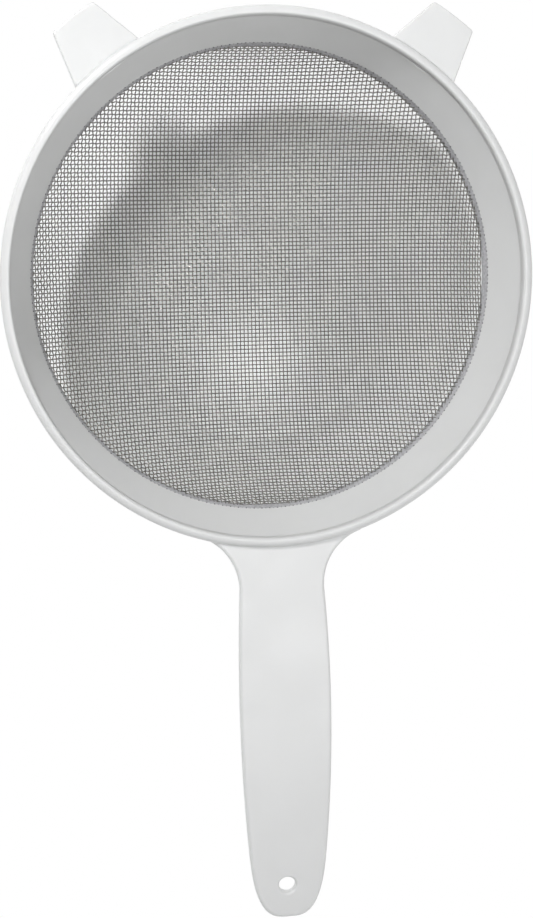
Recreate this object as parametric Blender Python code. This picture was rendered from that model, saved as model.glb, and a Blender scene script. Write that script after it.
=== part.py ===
"""Round hand strainer: a one-piece moulded frame that holds a pressed bowl of woven wire cloth.

The bowl's axis is Z. The two rest ears point to +Y and the handle to -Y. The origin is on the
axis, at the flat crown under the bowl. Lengths are in metres.
"""
import math

import bmesh
import bpy

# Levels above the crown of the bowl
CLOTH_THICKNESS = 0.0008
CLOTH_DEPTH = 0.0220
RIM_LEVEL = 0.0440  # where the lip is widest

# Ring: radii from the axis, heights down from RIM_LEVEL
RIM_RADIUS = 0.1030
LIP_WIDTH = 0.0039
LIP_RISE = 0.0021
LIP_CENTRE_DROP = 0.0006
LIP_INNER_DROP = 0.0027
LIP_UNDERSIDE_DROP = 0.0022
BAND_TOP = (0.0904, 0.0184)
SLOT_MOUTH_RADIUS = 0.0895
SLOT_ROOT_RADIUS = 0.0905
CLOTH_EDGE_DROP = 0.0216
SLOT_HALF_HEIGHT = 0.0007
FOOT_DROP = 0.0234
FOOT_OUTER_RADIUS = 0.0917
WALL_THICKNESS = 0.0022
RING_STEPS = 96
LIP_STEPS = 8

# Wire cloth
CLOTH_BOWL_RADIUS = 0.0890
CLOTH_FLANGE_RADIUS = 0.0902
CROWN_RADIUS = 0.0120
CLOTH_STEPS = 64
CLOTH_RINGS = 11
CLOTH_RING_CROWDING = 0.8  # below 1 sets the outer rings closer together
BOWL_POWER = 4

# Rest ears
EAR_ANGLE = math.radians(36.4)
EAR_ROOT_RADIUS = 0.0996
EAR_TIP_RADIUS = 0.1231
EAR_ROOT_HALF_ANGLE = math.radians(9.2)
EAR_TIP_HALF_ANGLE = math.radians(4.4)
EAR_TOP_DROP = 0.0030
EAR_THICKNESS = 0.0025
EAR_EDGE_RADIUS = 0.0006
EAR_STEPS = 6
EAR_BEVEL_SEGMENTS = 2
EAR_BEVEL_ANGLE = math.radians(40)

# Handle: distances from the axis, heights from RIM_LEVEL
HANDLE_LENGTH = 0.2480
HANDLE_ROOT_RADIUS = 0.0999
HANDLE_THICKNESS = 0.0040
HANDLE_EDGE_RADIUS = 0.0014
HANDLE_TOP_DROP = 0.0005
HANDLE_RISE = 0.0120
HANDLE_RISE_POWER = 2.4
NECK_HALF_WIDTH = 0.0166
BELLY_HALF_WIDTH = 0.0180
BELLY_DISTANCE = 0.1620
NOSE_START = 0.2200
NOSE_POWER = 3.3
ROOT_FILLET = 0.0220
HANDLE_ROOT_SHIFT = 0.0017  # sideways place of its middle line at the rim
HANDLE_TIP_SHIFT = 0.0005
ROOT_FILLET_STEPS = 7
BODY_STEPS = 22
HANDLE_COLUMNS = 8
SMALL_STEP = 1e-5  # for the slope of the handle's edge

# Hanging hole
HOLE_DISTANCE = 0.2348
HOLE_RADIUS = 0.0033
HOLE_MOUTH_RADIUS = 0.0044
HOLE_ROUNDING = 0.0011
HOLE_LENGTHWISE = 0.90  # length of the oval along the handle, over its width
HOLE_MARGIN = 0.0020  # by which the cutter stands out of the handle
HOLE_STEPS = 28
HOLE_MOUTH_STEPS = 3

# Meshes
MERGE_DISTANCE = 2e-6
SHARP_ANGLE = math.radians(35)

# Colour, roughness and metallic
PLASTIC = ((0.86, 0.87, 0.87), 0.38, 0.0)
STEEL = ((0.46, 0.46, 0.44), 0.32, 1.0)


def clear_scene():
    """Remove every object that the file starts with."""
    for obj in list(bpy.data.objects):
        bpy.data.objects.remove(obj)


def principled(name, colour, roughness, metallic):
    """Return a Principled material."""
    material = bpy.data.materials.new(name)
    material.use_nodes = True
    shader = material.node_tree.nodes["Principled BSDF"]
    shader.inputs["Base Color"].default_value = (*colour, 1.0)
    shader.inputs["Roughness"].default_value = roughness
    shader.inputs["Metallic"].default_value = metallic
    return material


def add_object(name, bm, material=None):
    """Turn a bmesh into a named object with outward faces."""
    bmesh.ops.remove_doubles(bm, verts=bm.verts, dist=MERGE_DISTANCE)
    bmesh.ops.recalc_face_normals(bm, faces=bm.faces)
    mesh = bpy.data.meshes.new(name)
    bm.to_mesh(mesh)
    bm.free()
    obj = bpy.data.objects.new(name, mesh)
    bpy.context.scene.collection.objects.link(obj)
    if material is not None:
        mesh.materials.append(material)
    mesh.shade_smooth()
    mesh.set_sharp_from_angle(angle=SHARP_ANGLE)
    return obj


def spin(profile, steps, closed):
    """Turn a profile of (radius, height) points about the Z axis."""
    bm = bmesh.new()
    verts = [bm.verts.new((radius, 0.0, height)) for radius, height in profile]
    edges = [bm.edges.new(pair) for pair in zip(verts, verts[1:])]
    if closed:
        edges.append(bm.edges.new((verts[-1], verts[0])))
    bmesh.ops.spin(
        bm,
        geom=verts + edges,
        cent=(0.0, 0.0, 0.0),
        axis=(0.0, 0.0, 1.0),
        angle=2 * math.pi,
        steps=steps,
        use_merge=True,
    )
    return bm


def make_tool(obj):
    """Keep an object as a Boolean operand only."""
    obj.hide_render = True
    obj.display_type = "WIRE"
    return obj


def add_boolean(obj, tool, operation):
    """Join a tool to an object, or cut it away."""
    modifier = obj.modifiers.new(f"{operation.lower()} {tool.name}", "BOOLEAN")
    modifier.operation = operation
    modifier.solver = "EXACT"
    modifier.object = make_tool(tool)


def ring_profile():
    """Section of the ring: rounded lip, sloping wall and the slot at its foot that holds the cloth."""
    half_lip = LIP_WIDTH / 2
    centre_radius = RIM_RADIUS - half_lip
    centre_level = RIM_LEVEL - LIP_CENTRE_DROP
    lip = []
    for step in range(LIP_STEPS + 1):
        angle = math.pi * step / LIP_STEPS
        radius = centre_radius + half_lip * math.cos(angle)
        lip.append((radius, centre_level + LIP_RISE * math.sin(angle)))
    lip_inner = (RIM_RADIUS - LIP_WIDTH, RIM_LEVEL - LIP_INNER_DROP)
    band_top = (BAND_TOP[0], RIM_LEVEL - BAND_TOP[1])
    run = lip_inner[0] - band_top[0]
    drop = lip_inner[1] - band_top[1]
    slope = math.hypot(run, drop)
    outward = (WALL_THICKNESS * drop / slope, -WALL_THICKNESS * run / slope)
    slot_top = RIM_LEVEL - CLOTH_EDGE_DROP + SLOT_HALF_HEIGHT
    slot_bottom = RIM_LEVEL - CLOTH_EDGE_DROP - SLOT_HALF_HEIGHT
    foot = RIM_LEVEL - FOOT_DROP
    return lip + [
        lip_inner,
        band_top,
        (SLOT_MOUTH_RADIUS, slot_top),
        (SLOT_ROOT_RADIUS, slot_top),
        (SLOT_ROOT_RADIUS, slot_bottom),
        (SLOT_MOUTH_RADIUS, slot_bottom),
        (SLOT_MOUTH_RADIUS, foot),
        (FOOT_OUTER_RADIUS, foot),
        (band_top[0] + outward[0], band_top[1] + outward[1]),
        (lip_inner[0] + outward[0], lip_inner[1] + outward[1]),
        (RIM_RADIUS, RIM_LEVEL - LIP_UNDERSIDE_DROP),
    ]


def cloth_level(radius):
    """Height of the cloth's middle surface above the crown, at a radius."""
    return CLOTH_THICKNESS / 2 + CLOTH_DEPTH * (radius / CLOTH_BOWL_RADIUS) ** BOWL_POWER


def cloth_side(side):
    """Points of one skin of the cloth, axis to flange: side is 1 for the inside, -1 for the outside."""
    half = side * CLOTH_THICKNESS / 2
    points = [(0.0, CLOTH_THICKNESS / 2 + half)]
    for step in range(CLOTH_RINGS + 1):
        share = (step / CLOTH_RINGS) ** CLOTH_RING_CROWDING
        radius = CROWN_RADIUS + (CLOTH_BOWL_RADIUS - CROWN_RADIUS) * share
        steepness = BOWL_POWER * CLOTH_DEPTH / CLOTH_BOWL_RADIUS
        slope = steepness * (radius / CLOTH_BOWL_RADIUS) ** (BOWL_POWER - 1)
        if step == 0:
            slope = 0.0
            level = CLOTH_THICKNESS / 2
        elif step == CLOTH_RINGS:
            slope /= 2  # halfway round the bend into the flange
            level = cloth_level(radius)
        else:
            level = cloth_level(radius)
        stretch = math.hypot(1.0, slope)
        points.append((radius - half * slope / stretch, level + half / stretch))
    flange_level = cloth_level(CLOTH_BOWL_RADIUS)
    points.append((CLOTH_FLANGE_RADIUS, flange_level + half))
    return points


def polar(radius, angle, level):
    """Point at a distance from the axis, at an angle from +Y towards +X."""
    return (radius * math.sin(angle), radius * math.cos(angle), level)


def add_ear(name, centre_angle):
    """Flat rest ear: a plate between the ring's wall and an arc, tapering outwards."""
    top = RIM_LEVEL - EAR_TOP_DROP
    outline = []
    for radius, half_angle in (
        (EAR_ROOT_RADIUS, EAR_ROOT_HALF_ANGLE),
        (EAR_TIP_RADIUS, -EAR_TIP_HALF_ANGLE),
    ):
        for step in range(EAR_STEPS + 1):
            angle = centre_angle + half_angle * (2 * step / EAR_STEPS - 1)
            outline.append(polar(radius, angle, top))
    bm = bmesh.new()
    face = bm.faces.new([bm.verts.new(point) for point in outline])
    result = bmesh.ops.extrude_face_region(bm, geom=[face])
    moved = [item for item in result["geom"] if isinstance(item, bmesh.types.BMVert)]
    bmesh.ops.translate(bm, verts=moved, vec=(0.0, 0.0, -EAR_THICKNESS))
    ear = add_object(name, bm)
    bevel = ear.modifiers.new("edge", "BEVEL")
    bevel.width = EAR_EDGE_RADIUS
    bevel.segments = EAR_BEVEL_SEGMENTS
    bevel.limit_method = "ANGLE"
    bevel.angle_limit = EAR_BEVEL_ANGLE
    return ear


def neck_distance():
    """Distance from the axis at which the root fillets run into the neck."""
    reach = RIM_RADIUS + ROOT_FILLET
    return math.sqrt(reach**2 - (NECK_HALF_WIDTH + ROOT_FILLET) ** 2)


def half_width(distance):
    """Half the handle's width between its neck and its tip: widest at the belly, round at the nose."""
    from_belly = (distance - BELLY_DISTANCE) / (BELLY_DISTANCE - neck_distance())
    width = BELLY_HALF_WIDTH - (BELLY_HALF_WIDTH - NECK_HALF_WIDTH) * from_belly**2
    nose = (distance - NOSE_START) / (HANDLE_LENGTH - NOSE_START)
    if nose > 0:
        width *= max(0.0, 1 - nose**NOSE_POWER) ** (1 / NOSE_POWER)
    return width


def handle_level(distance):
    """Height of the handle's upper face at a distance from the axis."""
    share = (distance - RIM_RADIUS) / (HANDLE_LENGTH - RIM_RADIUS)
    share = min(1.0, max(0.0, share))
    rise = HANDLE_RISE * (1 - (1 - share) ** HANDLE_RISE_POWER)
    return RIM_LEVEL - HANDLE_TOP_DROP + rise


def handle_shift(distance):
    """Sideways place of the handle's middle line, which stands a little off the bowl's axis."""
    share = (distance - RIM_RADIUS) / (HANDLE_LENGTH - RIM_RADIUS)
    return HANDLE_ROOT_SHIFT + (HANDLE_TIP_SHIFT - HANDLE_ROOT_SHIFT) * share


def handle_edge(inset):
    """Right-hand edge of the handle as (x, distance) points, root to tip, moved inwards by inset."""
    neck = neck_distance()
    centre = (NECK_HALF_WIDTH + ROOT_FILLET, neck)
    start = math.pi + math.atan2(centre[1], centre[0])
    root_direction = math.atan2(centre[0], centre[1])
    edge = [(
        HANDLE_ROOT_RADIUS * math.sin(root_direction),
        HANDLE_ROOT_RADIUS * math.cos(root_direction),
    )]
    for step in range(ROOT_FILLET_STEPS):
        angle = start + (math.pi - start) * step / ROOT_FILLET_STEPS
        reach = ROOT_FILLET + inset
        edge.append((centre[0] + reach * math.cos(angle), centre[1] + reach * math.sin(angle)))
    for step in range(BODY_STEPS + 1):
        share = math.sin(math.pi / 2 * step / BODY_STEPS)  # closer together towards the nose
        distance = neck + (HANDLE_LENGTH - neck) * share
        width = half_width(distance)
        if step == BODY_STEPS:
            normal = (0.0, 1.0)
        else:
            slope = (half_width(distance + SMALL_STEP) - width) / SMALL_STEP
            normal = (1 / math.hypot(1, slope), -slope / math.hypot(1, slope))
        edge.append((max(0.0, width - inset * normal[0]), distance - inset * normal[1]))
    return edge


def handle_layers():
    """Rounded edge of the handle, top to bottom, as (inset, depth) pairs."""
    radius = HANDLE_EDGE_RADIUS
    half_turn = radius * (1 - math.sin(math.pi / 4))
    upper = [(radius, 0.0), (half_turn, half_turn), (0.0, radius)]
    lower = [(inset, HANDLE_THICKNESS - depth) for inset, depth in reversed(upper)]
    return upper + lower


def handle_section(edges, layers, station):
    """One cross-section of the handle as a loop: top, right edge, underside, left edge."""
    columns = [1 - 2 * column / HANDLE_COLUMNS for column in range(HANDLE_COLUMNS + 1)]
    rim = []
    for edge, (inset, depth) in zip(edges, layers):
        x, along = edge[station]
        radius = math.hypot(x, along)
        rim.append((radius, math.atan2(x, along), handle_level(radius) - depth))
    (top, *sides, under) = rim
    section = [polar(top[0], math.pi + share * top[1], top[2]) for share in columns]
    section += [polar(radius, math.pi - angle, level) for radius, angle, level in sides]
    section += [polar(under[0], math.pi - share * under[1], under[2]) for share in columns]
    section += [polar(radius, math.pi + angle, level) for radius, angle, level in reversed(sides)]
    return section


def close_root(bm, loop, side_count):
    """Close the curved root end of the handle with upright strips."""
    last = HANDLE_COLUMNS
    under = last + side_count + 1
    for column in range(last):
        mirror = under + last - column
        bm.faces.new([loop[index] for index in (column, column + 1, mirror - 1, mirror)])
    bm.faces.new(loop[last : under + 1])
    bm.faces.new(loop[under + last :] + loop[:1])


def add_handle():
    """Flat paddle handle with rounded edges, rising gently from the ring."""
    layers = handle_layers()
    edges = [handle_edge(inset) for inset, depth in layers]
    bm = bmesh.new()
    loops = []
    for station in range(len(edges[0])):
        loops.append([bm.verts.new(point) for point in handle_section(edges, layers, station)])
    for near, far in zip(loops, loops[1:]):
        for index in range(len(near)):
            after = (index + 1) % len(near)
            bm.faces.new((near[index], near[after], far[after], far[index]))
    close_root(bm, loops[0], len(layers) - 2)
    for vert in bm.verts:
        vert.co.x += handle_shift(-vert.co.y)
    return add_object("handle_plate", bm)


def add_hole_cutter():
    """Oval cutter for the hanging hole, with a rounded mouth on both faces."""
    top = handle_level(HOLE_DISTANCE)
    bottom = top - HANDLE_THICKNESS
    flare = HOLE_MOUTH_RADIUS - HOLE_RADIUS
    profile = [(0.0, top + HOLE_MARGIN), (HOLE_MOUTH_RADIUS, top + HOLE_MARGIN)]
    for step in range(HOLE_MOUTH_STEPS + 1):
        angle = math.pi / 2 * step / HOLE_MOUTH_STEPS
        radius = HOLE_RADIUS + flare * (1 - math.sin(angle))
        profile.append((radius, top - HOLE_ROUNDING * (1 - math.cos(angle))))
    for step in reversed(range(HOLE_MOUTH_STEPS + 1)):
        angle = math.pi / 2 * step / HOLE_MOUTH_STEPS
        radius = HOLE_RADIUS + flare * (1 - math.sin(angle))
        profile.append((radius, bottom + HOLE_ROUNDING * (1 - math.cos(angle))))
    profile += [(HOLE_MOUTH_RADIUS, bottom - HOLE_MARGIN), (0.0, bottom - HOLE_MARGIN)]
    bm = spin(profile, HOLE_STEPS, closed=False)
    bmesh.ops.scale(bm, vec=(1.0, HOLE_LENGTHWISE, 1.0), verts=bm.verts)
    bmesh.ops.translate(bm, vec=(0.0, -HOLE_DISTANCE, 0.0), verts=bm.verts)
    return add_object("hanging_hole", bm)


def add_frame(material):
    """The moulding: ring, two ears and handle in one piece, with the hanging hole cut through."""
    frame = add_object("frame", spin(ring_profile(), RING_STEPS, closed=True), material)
    add_boolean(frame, add_ear("ear_left", -EAR_ANGLE), "UNION")
    add_boolean(frame, add_ear("ear_right", EAR_ANGLE), "UNION")
    add_boolean(frame, add_handle(), "UNION")
    add_boolean(frame, add_hole_cutter(), "DIFFERENCE")
    return frame


def add_wire_cloth(material):
    """The pressed cloth as one thin bowl, its edge turned out into the slot of the ring."""
    profile = cloth_side(-1) + cloth_side(1)[::-1]
    return add_object("wire_cloth", spin(profile, CLOTH_STEPS, closed=False), material)


def main():
    """Build the strainer."""
    clear_scene()
    add_frame(principled("white_plastic", *PLASTIC))
    add_wire_cloth(principled("stainless_wire", *STEEL))


main()
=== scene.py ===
"""Round hand strainer: a white moulded frame that holds a pressed bowl of woven steel wire.

Laid out as an add-on and run as a script. The bowl's axis is Z, the rest ears point to +Y and the
handle to -Y. Lengths are in metres and come from the CAD model's own boxes where they can.
"""

import math

import bmesh
import bpy
from bpy.props import FloatProperty, FloatVectorProperty, IntProperty, PointerProperty
from mathutils import Matrix, Vector


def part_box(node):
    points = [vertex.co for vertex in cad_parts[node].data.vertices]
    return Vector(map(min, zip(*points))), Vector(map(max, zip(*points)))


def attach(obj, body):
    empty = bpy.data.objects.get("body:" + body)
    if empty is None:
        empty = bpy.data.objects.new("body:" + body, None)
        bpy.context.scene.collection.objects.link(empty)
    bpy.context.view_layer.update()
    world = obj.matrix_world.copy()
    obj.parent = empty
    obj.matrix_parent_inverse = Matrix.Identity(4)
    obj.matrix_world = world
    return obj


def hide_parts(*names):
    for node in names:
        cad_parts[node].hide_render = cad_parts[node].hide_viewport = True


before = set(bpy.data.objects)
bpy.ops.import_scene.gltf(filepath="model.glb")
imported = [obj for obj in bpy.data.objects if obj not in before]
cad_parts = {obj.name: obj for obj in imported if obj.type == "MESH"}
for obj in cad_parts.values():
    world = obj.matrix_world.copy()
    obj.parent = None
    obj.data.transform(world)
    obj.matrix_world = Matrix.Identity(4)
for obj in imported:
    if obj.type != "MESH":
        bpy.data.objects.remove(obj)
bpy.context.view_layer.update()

bl_info = {
    "name": "Moulded Strainer",
    "version": (1, 0, 0),
    "blender": (4, 5, 0),
    "location": "3D View > Sidebar > Strainer",
    "description": "Builds a hand strainer around its CAD model, on a pale stage",
    "category": "Add Mesh",
}

FRAME_LOW, FRAME_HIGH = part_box("frame")

MERGE_DISTANCE = 2e-6
TINY = 1e-6  # keeps a division away from zero

# Ring: radii from the axis, drops down from the level of the rim
RIM_RADIUS = FRAME_HIGH.x
RIM_LEVEL = 0.0440
LIP_WIDTH = 0.0039
LIP_RISE = 0.0021
LIP_STEPS = 22
LIP_OUTER_SLOPE = 0.0027
LIP_CENTRE_DROP = 0.0006
LIP_INNER_DROP = 0.0027
LIP_UNDERSIDE_DROP = 0.0022
LIP_UNDERSIDE_INSET = 0.0002
LIP_SKIRT_DROP = 0.0010  # where the lip's upright sides end
BAND_RADIUS = 0.0904
BAND_DROP = 0.0184
FOOT_INNER_RADIUS = 0.0893
FOOT_OUTER_RADIUS = 0.0917
FOOT_DROP = 0.0234
FOOT_INNER_HEIGHT = 0.0018
WALL_THICKNESS = 0.0022
WALL_BEND = 0.0012  # radii of the section's corners
BAND_BEND = 0.0010
EDGE_BEND = 0.0005
FOOT_INNER_BEND = 0.0003
BEND_STEPS = 5
SHARP_ANGLE = math.radians(38)  # edges steeper than this stay sharp in the shading

# Bowl of wire cloth
CLOTH_HALF_THICKNESS = 0.0004
CLOTH_DEPTH = 0.0220
CLOTH_RADIUS = 0.0890
CLOTH_POWER = 4.0  # the bowl's height grows with this power of the radius
CLOTH_REACH = 0.0946  # from the axis to the edge, measured along the cloth
CLOTH_CUT_RADIUS = 0.0909
CLOTH_SHARES = 4  # pieces that share the wires of one direction
CRIMP_STEPS = 4  # points along a wire from one crossing to the next

# Wire ends in the foot of the wall
END_SHARE = math.sin(math.radians(45.5))  # wires further out than this end on the next quarter
END_SUBDIVISIONS = 2
# name, first wire, size, colour
END_TONES = (("dark", 0, 1.0, (0.10, 0.10, 0.11)), ("light", 1, 0.8, (0.30, 0.30, 0.32)))

# Ears
EAR_ANGLE = math.radians(36.4)
EAR_ROOT_RADIUS = 0.0996
EAR_TIP_RADIUS = 0.1231
EAR_ROOT_HALF_ANGLE = math.radians(9.2)
EAR_TIP_HALF_ANGLE = math.radians(4.4)
EAR_TOP_DROP = 0.0030
EAR_THICKNESS = 0.0025
EAR_CORNER_RADIUS = 0.0011
EAR_CORNER_STEPS = 6
EAR_TIP_CUTS = 9
EAR_BEVEL_SEGMENTS = 4
EAR_BEVEL_ANGLE = math.radians(50)
EAR_FILLET_HALF_ANGLE = math.radians(7.5)
EAR_FILLET_RADIUS = 0.0010

# Handle: distances from the axis
HANDLE_LENGTH = -FRAME_LOW.y
HANDLE_ROOT_RADIUS = 0.0999
HANDLE_THICKNESS = 0.0040
HANDLE_TOP_DROP = 0.0005
HANDLE_RISE = 0.0120
HANDLE_RISE_POWER = 2.4
NECK_HALF_WIDTH = 0.0166
BELLY_HALF_WIDTH = 0.0180
BELLY_DISTANCE = 0.1620
NOSE_START = 0.2200
NOSE_POWER = 3.3
ROOT_FILLET = 0.0220
HANDLE_ROOT_SHIFT = 0.0017  # sideways place of its middle line at the rim
HANDLE_TIP_SHIFT = 0.0005
HANDLE_COLUMNS = 18

# Hanging hole
HOLE_DISTANCE = 0.2348
HOLE_RADIUS = 0.0033
HOLE_MOUTH_RADIUS = 0.0044
HOLE_ROUNDING = 0.0011
HOLE_LENGTHWISE = 0.90  # length along the handle as a share of the width
HOLE_STEPS = 64


# ---------------------------------------------------------------- settings


class StrainerMoulding(bpy.types.PropertyGroup):
    """Sizes and finish of the white moulding."""

    ring_steps: IntProperty(
        name="Ring steps",
        description="Number of steps round the ring",
        default=288,
        min=48,
    )
    edge_radius: FloatProperty(
        name="Handle edge radius",
        description="Rounding of the handle's long edges",
        default=0.0014,
        unit="LENGTH",
        precision=4,
    )
    ear_edge_radius: FloatProperty(
        name="Ear edge radius",
        description="Rounding of the ears' edges",
        default=0.0007,
        unit="LENGTH",
        precision=4,
    )
    colour: FloatVectorProperty(
        name="Plastic colour",
        description="Colour of the moulded plastic",
        subtype="COLOR",
        size=3,
        default=(0.645, 0.65, 0.65),
        min=0.0,
        max=1.0,
    )
    band_colour: FloatVectorProperty(
        name="Foot colour",
        description="Colour of the foot of the wall, where the wire shows through the plastic",
        subtype="COLOR",
        size=3,
        default=(0.47, 0.47, 0.49),
        min=0.0,
        max=1.0,
    )
    roughness: FloatProperty(
        name="Roughness",
        description="Roughness of the moulded surface",
        default=0.36,
        min=0.0,
        max=1.0,
        subtype="FACTOR",
    )


class StrainerCloth(bpy.types.PropertyGroup):
    """Sizes and finish of the woven wire."""

    pitch_x: FloatProperty(
        name="Pitch across",
        description="Distance between the wires that run along the handle, at the crown",
        default=0.001570,
        unit="LENGTH",
        precision=6,
    )
    pitch_y: FloatProperty(
        name="Pitch along",
        description="Distance between the wires that run across the handle, at the crown",
        default=0.001584,
        unit="LENGTH",
        precision=6,
    )
    wire_diameter: FloatProperty(
        name="Wire diameter",
        description="Thickness of one wire",
        default=0.00046,
        unit="LENGTH",
        precision=5,
    )
    wire_count: IntProperty(
        name="Wires each way",
        description="Number of wires in each direction, an even number",
        default=124,
        min=2,
    )
    wire_sides: IntProperty(
        name="Wire sides",
        description="Number of flat sides round a wire",
        default=6,
        min=3,
    )
    crowding_left: FloatVectorProperty(
        name="Crowding, left",
        description="Share by which the last wire is pulled inwards, and how late that begins",
        size=2,
        default=(0.059, 4.75),
    )
    crowding_right: FloatVectorProperty(
        name="Crowding, right",
        description="Share by which the last wire is pulled inwards, and how late that begins",
        size=2,
        default=(0.085, 4.2),
    )
    crowding_ears: FloatVectorProperty(
        name="Crowding, ear side",
        description="Share by which the last wire is pulled inwards, and how late that begins",
        size=2,
        default=(0.0645, 7.0),
    )
    crowding_handle: FloatVectorProperty(
        name="Crowding, handle side",
        description="Share by which the last wire is pulled inwards, and how late that begins",
        size=2,
        default=(0.0815, 4.5),
    )
    crimp_height: FloatProperty(
        name="Crimp height",
        description="How far a wire swings to either side of the middle of the cloth",
        default=0.00030,
        unit="LENGTH",
    )
    end_diameter: FloatProperty(
        name="Wire end diameter",
        description="Size of one bump where a wire's end shows through the foot of the wall",
        default=0.00056,
        unit="LENGTH",
        precision=5,
    )
    colour: FloatVectorProperty(
        name="Steel colour",
        description="Colour of the drawn steel wire",
        subtype="COLOR",
        size=3,
        default=(0.25, 0.243, 0.221),
        min=0.0,
        max=1.0,
    )
    roughness: FloatProperty(
        name="Roughness",
        description="Roughness of the drawn wire",
        default=0.30,
        min=0.0,
        max=1.0,
        subtype="FACTOR",
    )


class StrainerStage(bpy.types.PropertyGroup):
    """Floor, light and camera."""

    floor_colour: FloatVectorProperty(
        name="Floor colour",
        description="Colour of the pale floor",
        subtype="COLOR",
        size=3,
        default=(0.93, 0.93, 0.93),
        min=0.0,
        max=1.0,
    )
    floor_glow: FloatProperty(
        name="Floor glow",
        description="Brightness of the floor away from the strainer",
        default=1.0,
        min=0.0,
    )
    key_power: FloatProperty(
        name="Key light power",
        description="Power of the soft main light",
        default=5.1,
        unit="POWER",
        min=0.0,
    )
    key_size: FloatProperty(
        name="Key light size",
        description="Diameter of the soft main light",
        default=0.11,
        unit="LENGTH",
        min=0.01,
    )
    top_power: FloatProperty(
        name="Top light power",
        description="Power of the broad light overhead",
        default=6.8,
        unit="POWER",
        min=0.0,
    )
    # painted light: a faint glow painted on the floor under the whole bowl
    painted_light_under_bowl: FloatProperty(
        name="Under glow",
        description="Extra brightness of the floor under the whole bowl",
        default=0.06,
        min=0.0,
    )
    # painted light: extra glow painted on the floor round the point where the bowl touches it
    painted_light_at_touch: FloatProperty(
        name="Touch glow",
        description="Extra brightness of the floor where the bowl touches it",
        default=0.27,
        min=0.0,
    )
    sky_low: FloatProperty(
        name="Low sky",
        description="Brightness of the surroundings at the horizon",
        default=0.20,
        min=0.0,
    )
    sky_side: FloatProperty(
        name="Sky side",
        description="How much brighter the surroundings are on the side away from the main light",
        default=0.32,
        min=0.0,
    )
    sky_corners: FloatProperty(
        name="Sky corners",
        description="How much brighter the surroundings are towards two opposite corners",
        default=0.55,
        min=0.0,
    )
    sky_high: FloatProperty(
        name="High sky",
        description="Brightness of the surroundings overhead",
        default=0.42,
        min=0.0,
    )
    lens: FloatProperty(
        name="Focal length",
        description="Focal length of the camera in millimetres, on a 36 mm tall sensor",
        default=79.03,
        min=1.0,
    )


# ---------------------------------------------------------------- node helpers


def fill(tree, node, inputs):
    """Set or link a node's inputs by name or number."""
    for key, value in inputs.items():
        if isinstance(value, bpy.types.NodeSocket):
            tree.links.new(value, node.inputs[key])
        else:
            node.inputs[key].default_value = value


def add_node(tree, kind, inputs, **attributes):
    """Add a node, set its attributes, fill its inputs and return its outputs."""
    node = tree.nodes.new(kind)
    for name, value in attributes.items():
        setattr(node, name, value)
    fill(tree, node, inputs)
    return node.outputs


def add(tree, kind, inputs, **attributes):
    """Add a node and return its first output."""
    return add_node(tree, kind, inputs, **attributes)[0]


def calc(tree, operation, first, second=None, third=None):
    """Add a Math node and return its output."""
    inputs = {0: first}
    if second is not None:
        inputs[1] = second
    if third is not None:
        inputs[2] = third
    return add(tree, "ShaderNodeMath", inputs, operation=operation)


def hypotenuse(tree, first, second):
    """Square root of the sum of two squares."""
    squares = (calc(tree, "MULTIPLY", value, value) for value in (first, second))
    return calc(tree, "SQRT", calc(tree, "ADD", *squares))


def smooth_range(tree, value, low, high, start=0.0, end=1.0):
    """Map a value smoothly from low..high to start..end."""
    limits = {"Value": value, "From Min": low, "From Max": high, "To Min": start, "To Max": end}
    return add(tree, "ShaderNodeMapRange", limits, interpolation_type="SMOOTHSTEP")


def blend_colour(tree, factor, first, second):
    """Mix two colours by a factor; the numbers are the colour sockets of the Mix node."""
    return add_node(tree, "ShaderNodeMix", {0: factor, 6: first, 7: second}, data_type="RGBA")[2]


def varied(tree, field, colour, dark, light, low=0.3, high=0.7):
    """A colour that a field between low and high takes from a darker to a lighter shade."""
    factor = smooth_range(tree, field, low, high)
    shades = ([*(share * c for c in colour), 1.0] for share in (dark, light))
    return blend_colour(tree, factor, *shades)


def noise(tree, coordinates, scale, detail=3.0, roughness=0.55):
    """Noise between 0 and 1 on a piece's own coordinates; scale is per metre."""
    inputs = {"Vector": coordinates, "Scale": scale, "Detail": detail, "Roughness": roughness}
    return add(tree, "ShaderNodeTexNoise", inputs)


def new_material(name):
    """Return a new material, its tree, its Principled shader and the Object coordinates."""
    material = bpy.data.materials.new(name)
    material.use_nodes = True
    tree = material.node_tree
    shader = tree.nodes["Principled BSDF"]
    coordinates = tree.nodes.new("ShaderNodeTexCoord").outputs["Object"]
    return material, tree, shader, coordinates


def bump(tree, shader, height, distance, strength):
    """Give a shader a bump from a height field."""
    inputs = {"Height": height, "Distance": distance, "Strength": strength}
    fill(tree, shader, {"Normal": add(tree, "ShaderNodeBump", inputs)})


# ---------------------------------------------------------------- materials


def axis_distance(tree, coordinates):
    """Distance from the Z axis, and height, as two outputs."""
    x, y, height = add_node(tree, "ShaderNodeSeparateXYZ", {0: coordinates})
    return hypotenuse(tree, x, y), height


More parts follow.
